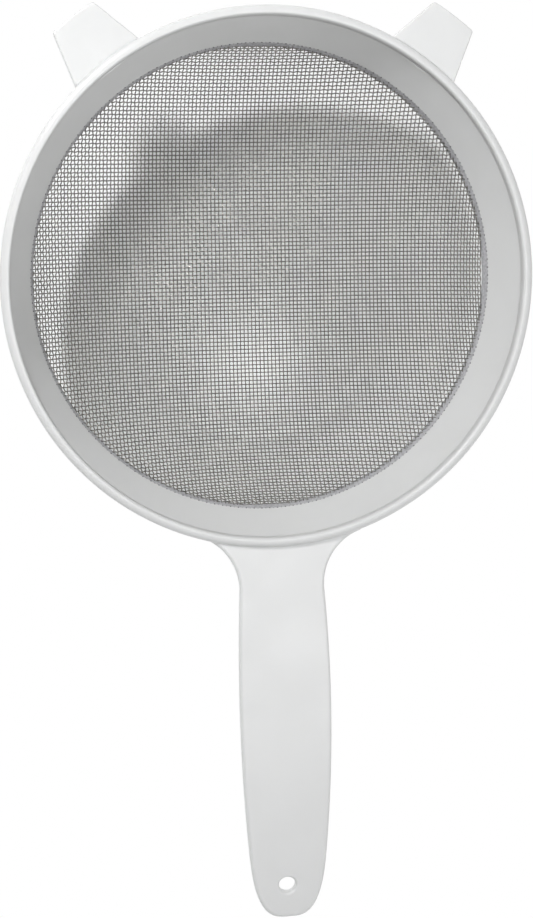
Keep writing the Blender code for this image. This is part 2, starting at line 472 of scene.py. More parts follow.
def white_plastic(settings):
    """Moulded polypropylene: faint mottling and grain, greyer where the wire shows through."""
    material, tree, shader, coordinates = new_material("white_moulded_plastic")
    radius, height = axis_distance(tree, coordinates)
    band = RIM_LEVEL - BAND_DROP
    at_foot = calc(tree, "MULTIPLY",
        smooth_range(tree, height, band + 0.0001, band - 0.0003),
        smooth_range(tree, radius, BAND_RADIUS + 0.0006, BAND_RADIUS + 0.0003),
    )
    mottle = noise(tree, coordinates, scale=34.0, detail=4.0)
    streak = noise(tree, coordinates, scale=900.0, detail=2.0)
    plain = varied(tree, mottle, settings.colour, dark=0.975, light=1.0)
    ghost = varied(tree, streak, settings.band_colour, 0.84, 1.14, low=0.35, high=0.65)
    fine = noise(tree, coordinates, scale=1600.0, detail=2.0)
    wave = noise(tree, coordinates, scale=60.0)
    rough = calc(tree, "ADD", smooth_range(tree, wave, 0.3, 0.7, -0.03, 0.04),
        smooth_range(tree, fine, 0.3, 0.7, settings.roughness - 0.03, settings.roughness + 0.04))
    relief = calc(tree, "MULTIPLY_ADD", fine, 0.35, wave)
    bump(tree, shader, relief, distance=0.00006, strength=0.6)
    fill(tree, shader, {
        "Base Color": blend_colour(tree, at_foot, plain, ghost),
        "Roughness": rough,
        "IOR": 1.49,
        "Subsurface Weight": 0.5,
        "Subsurface Radius": (1.0, 1.0, 0.95),
        "Subsurface Scale": 0.0022,
    })
    return material


def steel_wire(settings):
    """Drawn stainless wire, a little uneven in tone and in polish."""
    material, tree, shader, coordinates = new_material("drawn_steel_wire")
    tone = noise(tree, coordinates, scale=260.0)
    fine = noise(tree, coordinates, scale=5200.0, detail=2.0)
    rough = smooth_range(
        tree, fine, 0.25, 0.75, settings.roughness - 0.08, settings.roughness + 0.10
    )
    fill(tree, shader, {
        "Base Color": varied(tree, tone, settings.colour, dark=0.82, light=1.16),
        "Roughness": rough,
        "Metallic": 1.0,
    })
    bump(tree, shader, fine, distance=0.000004, strength=0.4)
    return material


def wire_end(name, tone):
    """A wire's end seen through the thin skin of plastic."""
    material, tree, shader, coordinates = new_material(name)
    uneven = noise(tree, coordinates, scale=1100.0, detail=2.0)
    fill(tree, shader, {
        "Base Color": varied(tree, uneven, tone, dark=0.7, light=1.25),
        "Roughness": smooth_range(tree, uneven, 0.3, 0.7, 0.38, 0.5),
    })
    bump(tree, shader, uneven, distance=0.00004, strength=0.5)
    return material


# ---------------------------------------------------------------- mesh helpers


def link_new(name, mesh):
    """Put a mesh in the scene as an object at the origin."""
    obj = bpy.data.objects.new(name, mesh)
    bpy.context.scene.collection.objects.link(obj)
    return obj


def from_bmesh(name, bm):
    """Turn a bmesh into an object with merged points and outward faces."""
    bmesh.ops.remove_doubles(bm, verts=bm.verts, dist=MERGE_DISTANCE)
    bmesh.ops.recalc_face_normals(bm, faces=bm.faces)
    mesh = bpy.data.meshes.new(name)
    bm.to_mesh(mesh)
    bm.free()
    return link_new(name, mesh)


def evaluated_copy(obj, name):
    """Plain mesh object with the modifiers of obj applied; obj is removed."""
    bpy.context.view_layer.update()
    graph = bpy.context.evaluated_depsgraph_get()
    mesh = bpy.data.meshes.new_from_object(obj.evaluated_get(graph), depsgraph=graph)
    bpy.data.objects.remove(obj)
    mesh.name = name
    return link_new(name, mesh)


def spin(profile, steps, closed):
    """Turn a profile of (radius, height) points about the Z axis."""
    bm = bmesh.new()
    verts = [bm.verts.new((radius, 0.0, height)) for radius, height in profile]
    edges = [bm.edges.new(pair) for pair in zip(verts, verts[1:])]
    if closed:
        edges.append(bm.edges.new((verts[-1], verts[0])))
    bmesh.ops.spin(
        bm,
        geom=verts + edges,
        cent=(0.0, 0.0, 0.0),
        axis=(0.0, 0.0, 1.0),
        angle=2 * math.pi,
        steps=steps,
        use_merge=True,
    )
    return bm


def skin(bm, loops):
    """Join equally long closed loops of points, one after another, with four-sided faces."""
    for near, far in zip(loops, loops[1:]):
        for index in range(len(near)):
            after = (index + 1) % len(near)
            bm.faces.new((near[index], near[after], far[after], far[index]))


def quarter_arc(steps):
    """Sine and cosine of each step of a quarter turn."""
    angles = [math.pi / 2 * step / steps for step in range(steps + 1)]
    return [(math.sin(angle), math.cos(angle)) for angle in angles]


def polar(radius, angle, level):
    """Point at a distance from the axis, at an angle from +Y towards +X."""
    return Vector((radius * math.sin(angle), radius * math.cos(angle), level))


def rounded(points, radii, steps):
    """A closed outline of 2-D points with each corner rounded to its own radius."""
    outline = []
    count = len(points)
    for index, (corner, radius) in enumerate(zip(points, radii)):
        corner = Vector(corner)
        if radius == 0:
            outline.append(corner)
            continue
        before = (Vector(points[index - 1]) - corner).normalized()
        after = (Vector(points[(index + 1) % count]) - corner).normalized()
        half = before.angle(after) / 2
        reach = radius / math.tan(half)
        centre = corner + (before + after).normalized() * radius / math.sin(half)
        start = corner + before * reach - centre
        end = corner + after * reach - centre
        turn = start.angle_signed(end)
        for step in range(steps + 1):
            spoke = start.copy()
            spoke.rotate(Matrix.Rotation(-turn * step / steps, 2))
            outline.append(centre + spoke)
    return outline


def join_solids(base, tools, name):
    """Add solids to base or cut them out of it, and return the result as one plain object."""
    for tool, operation in tools:
        modifier = base.modifiers.new(f"{operation.lower()} {tool.name}", "BOOLEAN")
        modifier.operation = operation
        modifier.solver = "EXACT"
        modifier.object = tool
    solid = evaluated_copy(base, name)
    for tool, _ in tools:
        bpy.data.objects.remove(tool)
    return solid


# ---------------------------------------------------------------- the moulding


def ring_profile():
    """Section of the ring, all corners rounded: lip, sloping inner wall, foot and outer wall."""
    centre = (RIM_RADIUS - LIP_OUTER_SLOPE, RIM_LEVEL - LIP_CENTRE_DROP)
    lip = []
    for step in range(LIP_STEPS + 1):
        angle = math.pi * step / LIP_STEPS
        reach = LIP_OUTER_SLOPE if step < LIP_STEPS / 2 else LIP_WIDTH - LIP_OUTER_SLOPE
        lip.append((centre[0] + reach * math.cos(angle), centre[1] + LIP_RISE * math.sin(angle)))
    skirt = RIM_LEVEL - LIP_SKIRT_DROP
    inner = Vector((RIM_RADIUS - LIP_WIDTH, RIM_LEVEL - LIP_INNER_DROP))
    band = Vector((BAND_RADIUS, RIM_LEVEL - BAND_DROP))
    foot = RIM_LEVEL - FOOT_DROP
    wall = (inner - band).normalized()
    outward = Vector((wall.y, -wall.x)) * WALL_THICKNESS
    corners, bends = zip(
        ((RIM_RADIUS - LIP_WIDTH, skirt), 0),
        (inner, WALL_BEND),
        (band, EDGE_BEND),
        ((FOOT_INNER_RADIUS, foot + FOOT_INNER_HEIGHT), EDGE_BEND),
        ((FOOT_INNER_RADIUS, foot), FOOT_INNER_BEND),
        ((FOOT_OUTER_RADIUS, foot), EDGE_BEND),
        (band + outward, BAND_BEND),
        (inner + outward, WALL_BEND),
        ((RIM_RADIUS - LIP_UNDERSIDE_INSET, RIM_LEVEL - LIP_UNDERSIDE_DROP), EDGE_BEND),
        ((RIM_RADIUS, skirt), 0),
    )
    return lip + [tuple(point) for point in rounded(corners, bends, BEND_STEPS)]


def add_ear(name, centre_angle, edge_radius):
    """Flat rest ear with rounded corners and edges."""
    half_angles = (EAR_ROOT_HALF_ANGLE, EAR_TIP_HALF_ANGLE)
    root = [polar(EAR_ROOT_RADIUS, side * half_angles[0], 0.0).xy for side in (-1, 1)]
    tip = [polar(EAR_TIP_RADIUS, side * half_angles[1], 0.0).xy for side in (1, -1)]
    crown = EAR_TIP_RADIUS * (1 - math.cos(half_angles[1]))
    bends = (0, 0, EAR_CORNER_RADIUS, EAR_CORNER_RADIUS)
    outline = rounded(root + tip, bends, EAR_CORNER_STEPS)
    bm = bmesh.new()
    top = RIM_LEVEL - EAR_TOP_DROP
    bm.faces.new([bm.verts.new((point.x, point.y, top)) for point in outline])
    # bow the tip outwards into its arc
    tip_edge = max(
        (edge for edge in bm.edges if min(v.co.y for v in edge.verts) > EAR_ROOT_RADIUS + crown),
        key=lambda edge: edge.calc_length(),
    )
    bmesh.ops.subdivide_edges(bm, edges=[tip_edge], cuts=EAR_TIP_CUTS)
    half_tip = tip[0].x
    slack = 0.00002
    for vert in bm.verts:
        if vert.co.y > EAR_TIP_RADIUS - crown - slack:
            share = vert.co.x / half_tip
            vert.co.y += crown * (1 - share * share)
    result = bmesh.ops.extrude_face_region(bm, geom=list(bm.faces))
    moved = [item for item in result["geom"] if isinstance(item, bmesh.types.BMVert)]
    bmesh.ops.translate(bm, verts=moved, vec=(0.0, 0.0, -EAR_THICKNESS))
    bmesh.ops.rotate(bm, verts=bm.verts, matrix=Matrix.Rotation(-centre_angle, 3, "Z"))
    ear = from_bmesh(name, bm)
    bevel = ear.modifiers.new("edge", "BEVEL")
    bevel.width = edge_radius
    bevel.segments = EAR_BEVEL_SEGMENTS
    bevel.limit_method = "ANGLE"
    bevel.angle_limit = EAR_BEVEL_ANGLE
    return evaluated_copy(ear, name)


def add_ear_fillet(name, centre_angle):
    """Small concave fillet between the lip's outer side and the top of an ear."""
    radius = EAR_FILLET_RADIUS
    sink = 0.00003  # into both, so that the surfaces cross cleanly
    foot = RIM_LEVEL - EAR_TOP_DROP - sink
    inside = RIM_RADIUS - 0.0010
    below = foot - 0.0006
    section = [(inside, foot + radius), (inside, below), (RIM_RADIUS + radius, below)]
    for sine, cosine in quarter_arc(steps=7):
        section.append((RIM_RADIUS - sink + radius * (1 - sine), foot + radius * (1 - cosine)))
    bm = bmesh.new()
    columns = 24
    rows = []
    for column in range(columns + 1):
        angle = centre_angle + EAR_FILLET_HALF_ANGLE * (2 * column / columns - 1)
        rows.append([bm.verts.new(polar(reach, angle, level)) for reach, level in section])
    skin(bm, rows)
    bm.faces.new(rows[0])
    bm.faces.new(rows[-1])
    return from_bmesh(name, bm)


def neck_distance():
    """Distance from the axis at which the root fillets run into the neck."""
    reach = RIM_RADIUS + ROOT_FILLET
    return math.sqrt(reach**2 - (NECK_HALF_WIDTH + ROOT_FILLET) ** 2)


def half_width(distance):
    """Half the handle's width: widest at the belly, round at the nose."""
    from_belly = (distance - BELLY_DISTANCE) / (BELLY_DISTANCE - neck_distance())
    width = BELLY_HALF_WIDTH - (BELLY_HALF_WIDTH - NECK_HALF_WIDTH) * from_belly**2
    nose = (distance - NOSE_START) / (HANDLE_LENGTH - NOSE_START)
    if nose > 0:
        width *= max(0.0, 1 - nose**NOSE_POWER) ** (1 / NOSE_POWER)
    return width


def handle_level(distance):
    """Height of the handle's upper face at a distance from the axis."""
    share = (distance - RIM_RADIUS) / (HANDLE_LENGTH - RIM_RADIUS)
    share = min(1.0, max(0.0, share))
    return RIM_LEVEL - HANDLE_TOP_DROP + HANDLE_RISE * (1 - (1 - share) ** HANDLE_RISE_POWER)


def handle_shift(distance):
    """Sideways place of the handle's middle line, which stands a little off the bowl's axis."""
    share = (distance - RIM_RADIUS) / (HANDLE_LENGTH - RIM_RADIUS)
    return HANDLE_ROOT_SHIFT + (HANDLE_TIP_SHIFT - HANDLE_ROOT_SHIFT) * share


def handle_edge(inset):
    """Right-hand edge of the handle as (x, distance) points, root to tip, moved inwards by inset."""
    neck = neck_distance()
    centre = (NECK_HALF_WIDTH + ROOT_FILLET, neck)
    start = math.pi + math.atan2(centre[1], centre[0])
    root_direction = math.atan2(centre[0], centre[1])
    edge = [(
        HANDLE_ROOT_RADIUS * math.sin(root_direction),
        HANDLE_ROOT_RADIUS * math.cos(root_direction),
    )]
    fillet_steps = 18
    for step in range(fillet_steps):
        angle = start + (math.pi - start) * step / fillet_steps
        reach = ROOT_FILLET + inset
        edge.append((centre[0] + reach * math.cos(angle), centre[1] + reach * math.sin(angle)))
    body_steps = 64
    small = 1e-5
    for step in range(body_steps + 1):
        share = math.sin(math.pi / 2 * step / body_steps)  # closer together towards the nose
        distance = neck + (HANDLE_LENGTH - neck) * share
        width = half_width(distance)
        if step == body_steps:
            normal = (0.0, 1.0)
        else:
            slope = (half_width(distance + small) - width) / small
            normal = (1 / math.hypot(1, slope), -slope / math.hypot(1, slope))
        edge.append((max(0.0, width - inset * normal[0]), distance - inset * normal[1]))
    return edge


def handle_layers(radius):
    """Rounded edge of the handle, top to bottom, as (inset, depth) pairs."""
    upper = [(radius * (1 - sine), radius * (1 - cosine)) for sine, cosine in quarter_arc(steps=5)]
    lower = [(inset, HANDLE_THICKNESS - depth) for inset, depth in reversed(upper)]
    return upper + lower


def handle_section(edges, layers, station):
    """One cross-section of the handle as a loop: top, right edge, underside, left edge."""
    columns = [1 - 2 * column / HANDLE_COLUMNS for column in range(HANDLE_COLUMNS + 1)]
    rim = []
    for edge, (inset, depth) in zip(edges, layers):
        x, along = edge[station]
        radius = math.hypot(x, along)
        rim.append((radius, math.atan2(x, along), handle_level(radius) - depth))
    (top, *sides, under) = rim
    section = [polar(top[0], math.pi + share * top[1], top[2]) for share in columns]
    section += [polar(radius, math.pi - angle, level) for radius, angle, level in sides]
    section += [polar(under[0], math.pi - share * under[1], under[2]) for share in columns]
    section += [polar(radius, math.pi + angle, level) for radius, angle, level in reversed(sides)]
    return section


def close_root(bm, loop, side_count):
    """Close the curved root end of the handle with upright strips."""
    last = HANDLE_COLUMNS
    under = last + side_count + 1
    for column in range(last):
        mirror = under + last - column
        bm.faces.new([loop[index] for index in (column, column + 1, mirror - 1, mirror)])
    bm.faces.new(loop[last : under + 1])
    bm.faces.new(loop[under + last :] + loop[:1])


def add_handle(edge_radius):
    """Flat paddle handle with rounded edges, rising gently from the ring."""
    layers = handle_layers(edge_radius)
    edges = [handle_edge(inset) for inset, _ in layers]
    bm = bmesh.new()
    loops = []
    for station in range(len(edges[0])):
        loops.append([bm.verts.new(point) for point in handle_section(edges, layers, station)])
    skin(bm, loops)
    close_root(bm, loops[0], len(layers) - 2)
    for vert in bm.verts:
        vert.co.x += handle_shift(-vert.co.y)
    return from_bmesh("handle_plate", bm)


def add_hole_cutter():
    """Oval cutter for the hanging hole, with a rounded mouth on both faces."""
    top = handle_level(HOLE_DISTANCE)
    bottom = top - HANDLE_THICKNESS
    flare = HOLE_MOUTH_RADIUS - HOLE_RADIUS
    mouth = [
        (HOLE_RADIUS + flare * (1 - sine), HOLE_ROUNDING * (1 - cosine))
        for sine, cosine in quarter_arc(steps=8)
    ]
    beyond = 0.002
    profile = [(0.0, top + beyond), (HOLE_MOUTH_RADIUS, top + beyond)]
    profile += [(radius, top - drop) for radius, drop in mouth]
    profile += [(radius, bottom + drop) for radius, drop in reversed(mouth)]
    profile += [(HOLE_MOUTH_RADIUS, bottom - beyond), (0.0, bottom - beyond)]
    bm = spin(profile, HOLE_STEPS, closed=False)
    bmesh.ops.scale(bm, vec=(1.0, HOLE_LENGTHWISE, 1.0), verts=bm.verts)
    bmesh.ops.translate(bm, vec=(0.0, -HOLE_DISTANCE, 0.0), verts=bm.verts)
    return from_bmesh("hanging_hole", bm)


# ---------------------------------------------------------------- woven wire


def start_group(name, inputs):
    """Return a new Geometry Nodes group and the outputs that carry its named inputs."""
    tree = bpy.data.node_groups.new(name, "GeometryNodeTree")
    for kind, names in inputs.items():
        for socket_name in names:
            tree.interface.new_socket(socket_name, in_out="INPUT", socket_type=kind)
    tree.interface.new_socket("Geometry", in_out="OUTPUT", socket_type="NodeSocketGeometry")
    return tree, tree.nodes.new("NodeGroupInput").outputs


def finish_group(tree, given, geometry):
    """Turn the geometry about the Z axis, make it real and give it the material."""
    turn = add(tree, "ShaderNodeCombineXYZ", {"Z": given["Turn"]})
    turned = add(tree, "GeometryNodeTransform", {"Geometry": geometry, "Rotation": turn})
    real = add(tree, "GeometryNodeRealizeInstances", {0: turned})
    finished = add(tree, "GeometryNodeSetMaterial",
        {"Geometry": real, "Material": given["Material"]})
    add_node(tree, "NodeGroupOutput", {0: finished})
    return tree


def crowded(tree, steps, pitch, given, direction):
    """Place of a wire a number of pitches from the axis: even spacing that crowds near the edge."""
    is_ahead = calc(tree, "GREATER_THAN", steps, 0.0)
    chosen = []
    for what in ("crowding", "power"):
        ahead, behind = (given[f"{direction} {what} {side}"] for side in ("ahead", "behind"))
        step_up = calc(tree, "SUBTRACT", ahead, behind)
        chosen.append(calc(tree, "MULTIPLY_ADD", is_ahead, step_up, behind))
    amount, power = chosen
    even = calc(tree, "MULTIPLY", steps, pitch)
    share = calc(tree, "DIVIDE", calc(tree, "ABSOLUTE", even), given["Cloth reach"])
    closing = calc(tree, "MULTIPLY", amount, calc(tree, "POWER", share, power))
    return calc(tree, "MULTIPLY", even, calc(tree, "SUBTRACT", 1.0, closing))


def crowding_inputs(*directions):
    """Names of the inputs that crowded() reads."""
    return tuple(
        f"{direction} {what} {side}"
        for direction in directions
        for what in ("crowding", "power")
        for side in ("ahead", "behind")
    )


def crowding_values(direction, ahead, behind):
    """Values for the inputs that crowded() reads, from two settings."""
    return {
        f"{direction} {what} {side}": value[index]
        for side, value in (("ahead", ahead), ("behind", behind))
        for index, what in enumerate(("crowding", "power"))
    }


CLOTH_INPUTS = {
    "NodeSocketInt": ("Wire count", "First wire", "Wire sides"),
    "NodeSocketFloat": (
        "Pitch between wires",
        "Pitch along wires",
        "Middle wire",
        "Middle crossing",
        "Wire diameter",
        "Crimp height",
        "Cloth reach",
        "Bowl depth",
        "Bowl radius",
        "Crown level",
        "Cut radius",
        "Turn",
        *crowding_inputs("Across", "Along"),
    ),
    "NodeSocketMaterial": ("Material",),
}


def wire_tree():
    """Geometry Nodes that weave a share of the wires of one direction over the pressed bowl."""
    tree, given = start_group("woven_wires", CLOTH_INPUTS)
    count = given["Wire count"]

    line = add(tree, "GeometryNodeCurvePrimitiveLine", {"End": (1.0, 0.0, 0.0)})
    samples = calc(tree, "SUBTRACT", calc(tree, "MULTIPLY", count, CRIMP_STEPS), CRIMP_STEPS - 1.0)
    strand = add(tree, "GeometryNodeResampleCurve",
        {"Curve": line, "Count": samples}, mode="COUNT")
    points = add(tree, "GeometryNodePoints", {"Count": calc(tree, "DIVIDE", count, CLOTH_SHARES)})
    strands = add(tree, "GeometryNodeInstanceOnPoints", {"Points": points, "Instance": strand})
    loose = add(tree, "GeometryNodeRealizeInstances", {0: strands})

    place = add_node(tree, "GeometryNodeCurveOfPoint", {})
    wire = calc(tree, "MULTIPLY_ADD", place["Curve Index"], CLOTH_SHARES, given["First wire"])
    crossing = calc(tree, "DIVIDE", place["Index in Curve"], CRIMP_STEPS)
    y = crowded(tree, calc(tree, "SUBTRACT", wire, given["Middle wire"]),
        given["Pitch between wires"], given, "Across")
    x = crowded(tree, calc(tree, "SUBTRACT", crossing, given["Middle crossing"]),
        given["Pitch along wires"], given, "Along")
    radius = hypotenuse(tree, x, y)
    share = calc(tree, "DIVIDE", radius, given["Bowl radius"])
    rise = calc(tree, "POWER", share, CLOTH_POWER)
    level = calc(tree, "MULTIPLY_ADD", given["Bowl depth"], rise, given["Crown level"])
    steepness = calc(tree, "DIVIDE", given["Bowl depth"], given["Bowl radius"])
    slope = calc(tree, "MULTIPLY", calc(tree, "POWER", share, CLOTH_POWER - 1.0),
        calc(tree, "MULTIPLY", steepness, CLOTH_POWER))

    # each wire swings over and under the ones it crosses, square to the slope
    over = calc(tree, "MULTIPLY",
        calc(tree, "COSINE", calc(tree, "MULTIPLY", crossing, math.pi)),
        calc(tree, "COSINE", calc(tree, "MULTIPLY", wire, math.pi)))
    swing = calc(tree, "MULTIPLY", over, given["Crimp height"])
    offset = calc(tree, "DIVIDE", swing, hypotenuse(tree, slope, 1.0))
    lean = calc(tree, "DIVIDE", calc(tree, "MULTIPLY", slope, offset),
        calc(tree, "MAXIMUM", radius, TINY))
    kept = calc(tree, "SUBTRACT", 1.0, lean)
    position = add(tree, "ShaderNodeCombineXYZ", {
        "X": calc(tree, "MULTIPLY", x, kept),
        "Y": calc(tree, "MULTIPLY", y, kept),
        "Z": calc(tree, "ADD", level, offset),
    })
    woven = add(tree, "GeometryNodeSetPosition", {"Geometry": loose, "Position": position})

    away, _ = axis_distance(tree, add(tree, "GeometryNodeInputPosition", {}))
    trimmed = add(tree, "GeometryNodeDeleteGeometry", {
        "Geometry": woven,
        "Selection": calc(tree, "GREATER_THAN", away, given["Cut radius"]),
    }, domain="POINT")
    upright = add(tree, "GeometryNodeSetCurveNormal", {"Curve": trimmed}, mode="Z_UP")
    section = add(tree, "GeometryNodeCurvePrimitiveCircle", {
        "Resolution": given["Wire sides"],
        "Radius": calc(tree, "MULTIPLY", given["Wire diameter"], 0.5),
    })
    tubes = add(tree, "GeometryNodeCurveToMesh",
        {"Curve": upright, "Profile Curve": section, "Fill Caps": True})
    smooth = add(tree, "GeometryNodeSetShadeSmooth", {0: tubes})
    return finish_group(tree, given, smooth)


END_INPUTS = {
    "NodeSocketInt": ("Wire count", "First wire"),
    "NodeSocketFloat": (
        "Pitch",
        "Middle wire",
        "Cloth reach",
        "Ring radius",
        "Ring level",
        "End diameter",
        "Side",
        "Turn",
        *crowding_inputs("Across"),
    ),
    "NodeSocketMaterial": ("Material",),
}


def end_tree():
    """Geometry Nodes that set every second wire end on one quarter of the foot of the wall."""
    tree, given = start_group("wire_ends", END_INPUTS)
    index = add(tree, "GeometryNodeInputIndex", {})
    wire = calc(tree, "MULTIPLY_ADD", index, 2.0, given["First wire"])
    from_middle = calc(tree, "SUBTRACT", wire, given["Middle wire"])
    y = crowded(tree, from_middle, given["Pitch"], given, "Across")
    share = calc(tree, "DIVIDE", y, given["Ring radius"])
    rest = calc(tree, "SUBTRACT", 1.0, calc(tree, "MULTIPLY", share, share))
    x = calc(tree, "MULTIPLY", given["Ring radius"],
        calc(tree, "SQRT", calc(tree, "MAXIMUM", 0.0, rest)))
    position = add(tree, "ShaderNodeCombineXYZ", {
        "X": calc(tree, "MULTIPLY", x, given["Side"]),
        "Y": y,
        "Z": given["Ring level"],
    })
    points = add(tree, "GeometryNodePoints", {
        "Count": calc(tree, "DIVIDE", given["Wire count"], 2.0),
        "Position": position,
    })
    near = add(tree, "GeometryNodeDeleteGeometry", {
        "Geometry": points,
        "Selection": calc(tree, "GREATER_THAN", calc(tree, "ABSOLUTE", share), END_SHARE),
    }, domain="POINT")
    bead = add(tree, "GeometryNodeMeshIcoSphere", {
        "Radius": calc(tree, "MULTIPLY", given["End diameter"], 0.5),
        "Subdivisions": END_SUBDIVISIONS,
    })
    smooth = add(tree, "GeometryNodeSetShadeSmooth", {0: bead})
    beads = add(tree, "GeometryNodeInstanceOnPoints", {"Points": near, "Instance": smooth})
    return finish_group(tree, given, beads)


def middle_wires(settings):
    """Wire numbers of the axis, counted from the side with fewer wires and from the other side."""
    middle = (settings.wire_count - 1) / 2
    return middle - 1.0, middle + 1.0


def grow(name, tree, values):
    """Run a node group on an empty object and return the plain mesh it makes."""
    seed = link_new(name + "_seed", bpy.data.meshes.new(name + "_seed"))
    modifier = seed.modifiers.new(tree.name, "NODES")
    modifier.node_group = tree
    identifiers = {
        item.name: item.identifier
        for item in tree.interface.items_tree
        if item.item_type == "SOCKET" and item.in_out == "INPUT"
    }
    for key, value in values.items():
        modifier[identifiers[key]] = value
    return evaluated_copy(seed, name)


# ---------------------------------------------------------------- operators


class STRAINER_OT_moulding(bpy.types.Operator):
    """Build the white moulding: ring, ears, handle and hanging hole in one piece"""

    bl_idname = "strainer.moulding"
    bl_label = "Moulding"

    def execute(self, context):
        settings = context.scene.strainer_moulding
        ring = from_bmesh("ring", spin(ring_profile(), settings.ring_steps, closed=True))
        tools = []
        ears = (("left", -EAR_ANGLE), ("right", EAR_ANGLE))
        for side, angle in ears:
            tools.append((add_ear(f"ear_{side}", angle, settings.ear_edge_radius), "UNION"))
        tools.append((add_handle(settings.edge_radius), "UNION"))
        for side, angle in ears:
            tools.append((add_ear_fillet(f"ear_root_{side}", angle), "UNION"))
        tools.append((add_hole_cutter(), "DIFFERENCE"))
        moulding = join_solids(ring, tools, "frame_moulding")
        moulding.data.shade_smooth()
        moulding.data.set_sharp_from_angle(angle=SHARP_ANGLE)
        even = moulding.modifiers.new("even shading", "WEIGHTED_NORMAL")
        even.keep_sharp = True
        moulding = evaluated_copy(moulding, "frame_moulding")
        moulding.data.materials.clear()
        moulding.data.materials.append(white_plastic(settings))
        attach(moulding, "root")
        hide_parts("frame")
        return {"FINISHED"}


class STRAINER_OT_cloth(bpy.types.Operator):
    """Weave the wire cloth, the wires of each direction shared out over a few pieces"""

    bl_idname = "strainer.cloth"
    bl_label = "Wire cloth"

    def execute(self, context):
        settings = context.scene.strainer_cloth
        material = steel_wire(settings)
        tree = wire_tree()
        low_middle, high_middle = middle_wires(settings)
        ears_to_handle = (settings.crowding_ears, settings.crowding_handle)
        right_to_left = (settings.crowding_right, settings.crowding_left)
        left_to_right = (settings.crowding_left, settings.crowding_right)
        # name, pitches between and along, middle crossing, crowding across and along, turn
        cross = ("cross", settings.pitch_y, settings.pitch_x, low_middle,
            ears_to_handle, right_to_left, 0.0)
        long = ("long", settings.pitch_x, settings.pitch_y, high_middle,
            left_to_right, ears_to_handle, math.pi / 2)
        rows = [(way, share) for way in (cross, long) for share in range(CLOTH_SHARES)]
        for (name, between, along, crossing, across_crowding, along_crowding, turn), share in rows:
            values = {
                "Wire count": settings.wire_count,
                "First wire": share,
                "Wire sides": settings.wire_sides,
                "Pitch between wires": between,
                "Pitch along wires": along,
                "Middle wire": high_middle,
                "Middle crossing": crossing,
                "Wire diameter": settings.wire_diameter,
                "Crimp height": settings.crimp_height,
                "Cloth reach": CLOTH_REACH,
                "Bowl depth": CLOTH_DEPTH,
                "Bowl radius": CLOTH_RADIUS,
                "Crown level": CLOTH_HALF_THICKNESS,
                "Cut radius": CLOTH_CUT_RADIUS,
                "Turn": turn,
                "Material": material,
            }
            values |= crowding_values("Across", *across_crowding)
            values |= crowding_values("Along", *along_crowding)
            piece = grow(f"{name}_wires_{share + 1}", tree, values)
            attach(piece, "root")
            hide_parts("wire_cloth")
        return {"FINISHED"}


class STRAINER_OT_wire_ends(bpy.types.Operator):
    """Set the row of wire ends that show through the foot of the wall"""

    bl_idname = "strainer.wire_ends"
    bl_label = "Wire ends"

    def execute(self, context):
        settings = context.scene.strainer_cloth
        tones = [
            (name, first, size, wire_end(f"wire_end_{name}", colour))
            for name, first, size, colour in END_TONES
        ]
        tree = end_tree()
        _, high_middle = middle_wires(settings)
        cross = (settings.pitch_y, settings.crowding_ears, settings.crowding_handle, 0.0)
        long = (settings.pitch_x, settings.crowding_left, settings.crowding_right, math.pi / 2)
        quarters = (
            ("right", cross, 1.0),
            ("left", cross, -1.0),
            ("ears", long, 1.0),
            ("handle", long, -1.0),
        )
        for quarter, (pitch, ahead, behind, turn), side in quarters:
            for tone, first, size, material in tones:
                values = {
                    "Wire count": settings.wire_count,
                    "First wire": first,
                    "Pitch": pitch,
                    "Middle wire": high_middle,
                    "Cloth reach": CLOTH_REACH,
                    "Ring radius": BAND_RADIUS,
                    "Ring level": RIM_LEVEL - BAND_DROP,
                    "End diameter": settings.end_diameter * size,
                    "Side": side,
                    "Turn": turn,
                    "Material": material,
                }
                values |= crowding_values("Across", ahead, behind)
                piece = grow(f"wire_ends_{quarter}_{tone}", tree, values)
                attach(piece, "root")
                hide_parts("wire_cloth")
        return {"FINISHED"}


# ---------------------------------------------------------------- stage


CAMERA_AT = Vector((-0.1395, 0.0332, 0.8005))
CAMERA_AIM = Vector((-0.0035, -0.0684, 0.0440))
CAMERA_ROLL = math.radians(-0.98)
FLOOR_TILT = math.radians(3.7)
FLOOR_TOUCH = Vector((0.0, -0.0359, 0.0004))
FLOOR_HALF_SIZE = 4.0
FLOOR_MATT_RADIUS = 0.090  # lit by the lights and a painted glow within this, evenly bright beyond the next
FLOOR_GLOW_RADIUS = 0.100
# reach of the painted light round the point where the bowl touches the floor
PAINTED_TOUCH_LIGHT_REACH = 0.040
KEY_DIRECTION = Vector((-0.50, 0.625, 0.595))
KEY_DISTANCE = 0.85
TOP_DIRECTION = Vector((0.10, -0.02, 1.0))
TOP_DISTANCE = 1.25
TOP_SIZE = 0.80
SKY_SIDE_X = 0.54
SKY_SIDE_Y = -0.84
SKY_RANGE = (-0.1, 0.9)  # heights between which the sky brightens
WHITE = (1.0, 1.0, 1.0, 1.0)


